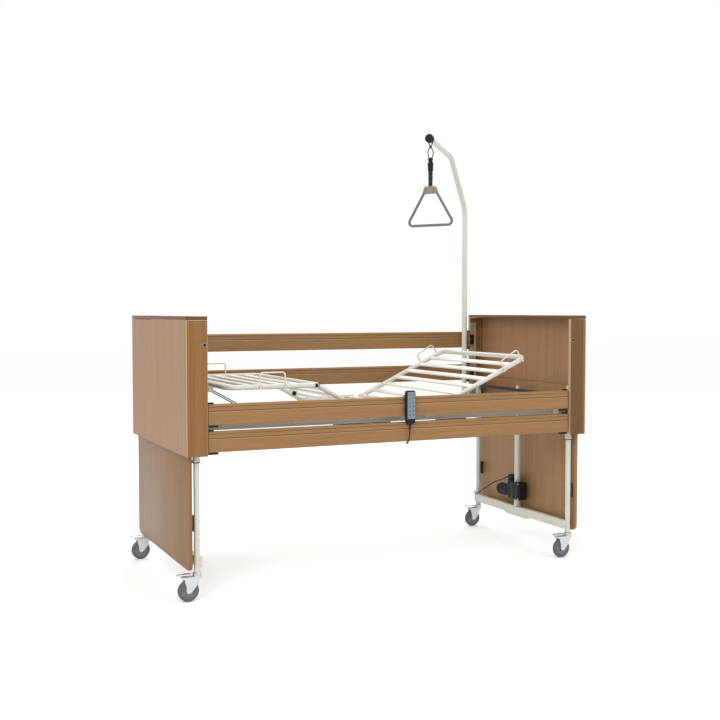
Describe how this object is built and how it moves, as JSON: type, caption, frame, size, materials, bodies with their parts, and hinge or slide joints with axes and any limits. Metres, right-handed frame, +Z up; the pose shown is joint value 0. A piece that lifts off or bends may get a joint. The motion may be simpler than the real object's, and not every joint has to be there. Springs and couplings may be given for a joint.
{
  "type": "adjustable hospital bed",
  "caption": "Height-adjustable nursing bed with profiling slatted platform, telescopic wooden ends, drop side rails, lifting pole with grab handle and wired handset.",
  "frame": {"origin": "on the floor, under the middle of the part's bounding box", "axes": "+X from the foot end to the head end, +Y from the near side to the far side with the lifting pole, +Z up"},
  "size_m": [2.234, 1.0806, 2.2874],
  "materials": {
    "foot_panel_wood": "satin beech-look laminate",
    "foot_cap_wood": "satin beech-look laminate",
    "foot_cheek_near_wood": "satin beech-look laminate",
    "foot_cheek_far_wood": "satin beech-look laminate",
    "foot_lower_board_wood": "satin beech-look laminate",
    "foot_upper_frame_cream": "smooth cream powder coat",
    "foot_leg_frame_cream": "smooth cream powder coat",
    "foot_lift_tube_cream": "smooth cream powder coat",
    "foot_lift_rod_silver": "zinc plated",
    "foot_lift_motor_black": "fine textured",
    "foot_catch_near_black": "fine textured",
    "castor_fork_foot_near_silver": "zinc plated",
    "castor_wheel_foot_near_tyre": "matte",
    "castor_brake_foot_near_silver": "zinc plated",
    "foot_catch_far_black": "fine textured",
    "castor_fork_foot_far_silver": "zinc plated",
    "castor_wheel_foot_far_tyre": "matte",
    "castor_brake_foot_far_silver": "zinc plated",
    "head_panel_wood": "satin beech-look laminate",
    "head_cap_wood": "satin beech-look laminate",
    "head_cheek_near_wood": "satin beech-look laminate",
    "head_cheek_far_wood": "satin beech-look laminate",
    "head_lower_board_wood": "satin beech-look laminate",
    "head_upper_frame_cream": "smooth cream powder coat",
    "head_leg_frame_cream": "smooth cream powder coat",
    "head_lift_tube_cream": "smooth cream powder coat",
    "head_lift_rod_silver": "zinc plated",
    "head_lift_motor_black": "fine textured",
    "head_catch_near_black": "fine textured",
    "castor_fork_head_near_silver": "zinc plated",
    "castor_wheel_head_near_tyre": "matte",
    "castor_brake_head_near_silver": "zinc plated",
    "head_catch_far_black": "fine textured",
    "castor_fork_head_far_silver": "zinc plated",
    "castor_wheel_head_far_tyre": "matte",
    "castor_brake_head_far_silver": "zinc plated",
    "chassis_frame_cream": "smooth cream powder coat",
    "backrest_frame_cream": "smooth cream powder coat",
    "thigh_frame_cream": "smooth cream powder coat",
    "calf_frame_cream": "smooth cream powder coat",
    "calf_retainer_near_cream": "smooth cream powder coat",
    "calf_retainer_far_cream": "smooth cream powder coat",
    "back_retainer_near_cream": "smooth cream powder coat",
    "back_retainer_far_cream": "smooth cream powder coat",
    "lifting_pole_cream": "smooth cream powder coat",
    "twin_drive_black": "fine textured",
    "control_box_black": "fine textured",
    "pole_end_cap_black": "fine textured",
    "handset_black": "fine textured",
    "handset_cord_black": "fine textured",
    "motor_lead_black": "fine textured",
    "calf_strut_dark": "dark coat",
    "handle_strap_webbing": "woven",
    "handle_grip_grey": "smooth",
    "handset_keypad_keys": "smooth foil",
    "near_rail_upper_wood": "satin beech-look laminate",
    "near_rail_lower_wood": "satin beech-look laminate",
    "far_rail_upper_wood": "satin beech-look laminate",
    "far_rail_lower_wood": "satin beech-look laminate"
  },
  "bodies": {
    "chassis": {"chassis_frame": "chassis_frame_cream", "twin_drive": "twin_drive_black", "control_box": "control_box_black", "handset_cord": "handset_cord_black", "foot_panel": "foot_panel_wood", "foot_cap": "foot_cap_wood", "foot_cheek_near": "foot_cheek_near_wood", "foot_cheek_far": "foot_cheek_far_wood", "foot_upper_frame": "foot_upper_frame_cream", "foot_lift_rod": "foot_lift_rod_silver", "head_panel": "head_panel_wood", "head_cap": "head_cap_wood", "head_cheek_near": "head_cheek_near_wood", "head_cheek_far": "head_cheek_far_wood", "head_upper_frame": "head_upper_frame_cream", "head_lift_rod": "head_lift_rod_silver"},
    "foot_legs": {"foot_leg_frame": "foot_leg_frame_cream", "foot_lower_board": "foot_lower_board_wood", "foot_lift_motor": "foot_lift_motor_black", "foot_lift_tube": "foot_lift_tube_cream"},
    "head_legs": {"head_leg_frame": "head_leg_frame_cream", "head_lower_board": "head_lower_board_wood", "head_lift_motor": "head_lift_motor_black", "head_lift_tube": "head_lift_tube_cream", "motor_lead": "motor_lead_black"},
    "fork_foot_near": {"castor_fork_foot_near": "castor_fork_foot_near_silver"},
    "wheel_foot_near": {"castor_wheel_foot_near": "castor_wheel_foot_near_tyre"},
    "brake_foot_near": {"castor_brake_foot_near": "castor_brake_foot_near_silver"},
    "catch_foot_near": {"foot_catch_near": "foot_catch_near_black"},
    "fork_foot_far": {"castor_fork_foot_far": "castor_fork_foot_far_silver"},
    "wheel_foot_far": {"castor_wheel_foot_far": "castor_wheel_foot_far_tyre"},
    "brake_foot_far": {"castor_brake_foot_far": "castor_brake_foot_far_silver"},
    "catch_foot_far": {"foot_catch_far": "foot_catch_far_black"},
    "fork_head_near": {"castor_fork_head_near": "castor_fork_head_near_silver"},
    "wheel_head_near": {"castor_wheel_head_near": "castor_wheel_head_near_tyre"},
    "brake_head_near": {"castor_brake_head_near": "castor_brake_head_near_silver"},
    "catch_head_near": {"head_catch_near": "head_catch_near_black"},
    "fork_head_far": {"castor_fork_head_far": "castor_fork_head_far_silver"},
    "wheel_head_far": {"castor_wheel_head_far": "castor_wheel_head_far_tyre"},
    "brake_head_far": {"castor_brake_head_far": "castor_brake_head_far_silver"},
    "catch_head_far": {"head_catch_far": "head_catch_far_black"},
    "backrest": {"backrest_frame": "backrest_frame_cream", "back_retainer_near": "back_retainer_near_cream", "back_retainer_far": "back_retainer_far_cream"},
    "thigh": {"thigh_frame": "thigh_frame_cream"},
    "calf": {"calf_frame": "calf_frame_cream", "calf_retainer_near": "calf_retainer_near_cream", "calf_retainer_far": "calf_retainer_far_cream"},
    "strut": {"calf_strut": "calf_strut_dark"},
    "near_rail_upper": {"near_rail_upper": "near_rail_upper_wood", "handset": "handset_black", "handset_keypad": "handset_keypad_keys"},
    "near_rail_lower": {"near_rail_lower": "near_rail_lower_wood"},
    "far_rail_upper": {"far_rail_upper": "far_rail_upper_wood"},
    "far_rail_lower": {"far_rail_lower": "far_rail_lower_wood"},
    "pole": {"lifting_pole": "lifting_pole_cream", "pole_end_cap": "pole_end_cap_black"},
    "handle": {"handle_strap": "handle_strap_webbing", "handle_grip": "handle_grip_grey"}
  },
  "joints": [
    {"name": "head_lift", "type": "slide", "parent": "chassis", "child": "head_legs", "axis": [0, 0, 1], "range_m": [0, 0.22]},
    {"name": "foot_lift", "type": "slide", "parent": "chassis", "child": "foot_legs", "axis": [0, 0, 1], "range_m": [0, 0.22]},
    {"name": "castor_swivel_foot_near", "type": "hinge", "parent": "foot_legs", "child": "fork_foot_near", "pos_m": [-1.021, -0.4567, 0.1375], "axis": [0, 0, 1], "continuous": true},
    {"name": "castor_roll_foot_near", "type": "hinge", "parent": "fork_foot_near", "child": "wheel_foot_near", "pos_m": [-1.063, -0.4567, 0.05], "axis": [0, 1, 0], "continuous": true},
    {"name": "castor_brake_foot_near", "type": "hinge", "parent": "fork_foot_near", "child": "brake_foot_near", "pos_m": [-1.051, -0.4567, 0.1245], "axis": [0, -1, 0], "range_deg": [0, 7]},
    {"name": "rail_catch_foot_near", "type": "slide", "parent": "chassis", "child": "catch_foot_near", "axis": [0, 1, 0], "range_m": [0, 0.004], "stiffness_N_per_m": 500, "springref_m": -0.002},
    {"name": "castor_swivel_foot_far", "type": "hinge", "parent": "foot_legs", "child": "fork_foot_far", "pos_m": [-1.021, 0.4693, 0.1375], "axis": [0, 0, 1], "continuous": true},
    {"name": "castor_roll_foot_far", "type": "hinge", "parent": "fork_foot_far", "child": "wheel_foot_far", "pos_m": [-1.063, 0.4693, 0.05], "axis": [0, 1, 0], "continuous": true},
    {"name": "castor_brake_foot_far", "type": "hinge", "parent": "fork_foot_far", "child": "brake_foot_far", "pos_m": [-1.051, 0.4693, 0.1245], "axis": [0, -1, 0], "range_deg": [0, 7]},
    {"name": "rail_catch_foot_far", "type": "slide", "parent": "chassis", "child": "catch_foot_far", "axis": [0, -1, 0], "range_m": [0, 0.004], "stiffness_N_per_m": 500, "springref_m": -0.002},
    {"name": "castor_swivel_head_near", "type": "hinge", "parent": "head_legs", "child": "fork_head_near", "pos_m": [1.055, -0.4567, 0.1375], "axis": [0, 0, 1], "continuous": true},
    {"name": "castor_roll_head_near", "type": "hinge", "parent": "fork_head_near", "child": "wheel_head_near", "pos_m": [1.013, -0.4567, 0.05], "axis": [0, 1, 0], "continuous": true},
    {"name": "castor_brake_head_near", "type": "hinge", "parent": "fork_head_near", "child": "brake_head_near", "pos_m": [1.025, -0.4567, 0.1245], "axis": [0, -1, 0], "range_deg": [0, 7]},
    {"name": "rail_catch_head_near", "type": "slide", "parent": "chassis", "child": "catch_head_near", "axis": [0, 1, 0], "range_m": [0, 0.004], "stiffness_N_per_m": 500, "springref_m": -0.002},
    {"name": "castor_swivel_head_far", "type": "hinge", "parent": "head_legs", "child": "fork_head_far", "pos_m": [1.055, 0.4693, 0.1375], "axis": [0, 0, 1], "continuous": true},
    {"name": "castor_roll_head_far", "type": "hinge", "parent": "fork_head_far", "child": "wheel_head_far", "pos_m": [1.013, 0.4693, 0.05], "axis": [0, 1, 0], "continuous": true},
    {"name": "castor_brake_head_far", "type": "hinge", "parent": "fork_head_far", "child": "brake_head_far", "pos_m": [1.025, 0.4693, 0.1245], "axis": [0, -1, 0], "range_deg": [0, 7]},
    {"name": "rail_catch_head_far", "type": "slide", "parent": "chassis", "child": "catch_head_far", "axis": [0, -1, 0], "range_m": [0, 0.004], "stiffness_N_per_m": 500, "springref_m": -0.002},
    {"name": "backrest_hinge", "type": "hinge", "parent": "chassis", "child": "backrest", "pos_m": [0.24, 0.0063, 0.835], "axis": [0, -1, 0], "range_deg": [-25, 45]},
    {"name": "thigh_hinge", "type": "hinge", "parent": "chassis", "child": "thigh", "pos_m": [-0.157, 0.0063, 0.835], "axis": [0, 1, 0], "range_deg": [-29.52, 6]},
    {"name": "knee_hinge", "type": "hinge", "parent": "thigh", "child": "calf", "pos_m": [-0.406, 0.0063, 0.976], "axis": [0, 1, 0], "range_deg": [-6, 29.52]},
    {"name": "strut_hinge", "type": "hinge", "parent": "chassis", "child": "strut", "pos_m": [-0.564, 0.0063, 0.796], "axis": [0, 1, 0], "range_deg": [-29.52, 6]},
    {"name": "near_rail_upper_slide", "type": "slide", "parent": "chassis", "child": "near_rail_upper", "axis": [0, 0, 1], "range_m": [0, 0.296]},
    {"name": "near_rail_lower_slide", "type": "slide", "parent": "chassis", "child": "near_rail_lower", "axis": [0, 0, 1], "range_m": [0, 0.22001]},
    {"name": "far_rail_upper_slide", "type": "slide", "parent": "chassis", "child": "far_rail_upper", "axis": [0, 0, 1], "range_m": [-0.296, 0]},
    {"name": "far_rail_lower_slide", "type": "slide", "parent": "chassis", "child": "far_rail_lower", "axis": [0, 0, 1], "range_m": [-0.22001, 0]},
    {"name": "pole_swivel", "type": "hinge", "parent": "chassis", "child": "pole", "pos_m": [0.9416, 0.4549, 0.8], "axis": [0, 0, 1], "range_deg": [-40, 40]},
    {"name": "handle_swing", "type": "hinge", "parent": "pole", "child": "handle", "pos_m": [0.40699, -0.07971, 2.26073], "axis": [-0.7042, -0.7042, 0.0905], "range_deg": [-35, 35]}
  ],
  "couplings": [
    {"joint": "foot_lift", "follows": "head_lift", "ratio": 1},
    {"joint": "knee_hinge", "follows": "thigh_hinge", "ratio": -1},
    {"joint": "strut_hinge", "follows": "thigh_hinge", "ratio": 1},
    {"joint": "near_rail_lower_slide", "follows": "near_rail_upper_slide", "ratio": 0.74324},
    {"joint": "far_rail_lower_slide", "follows": "far_rail_upper_slide", "ratio": 0.74324}
  ]
}
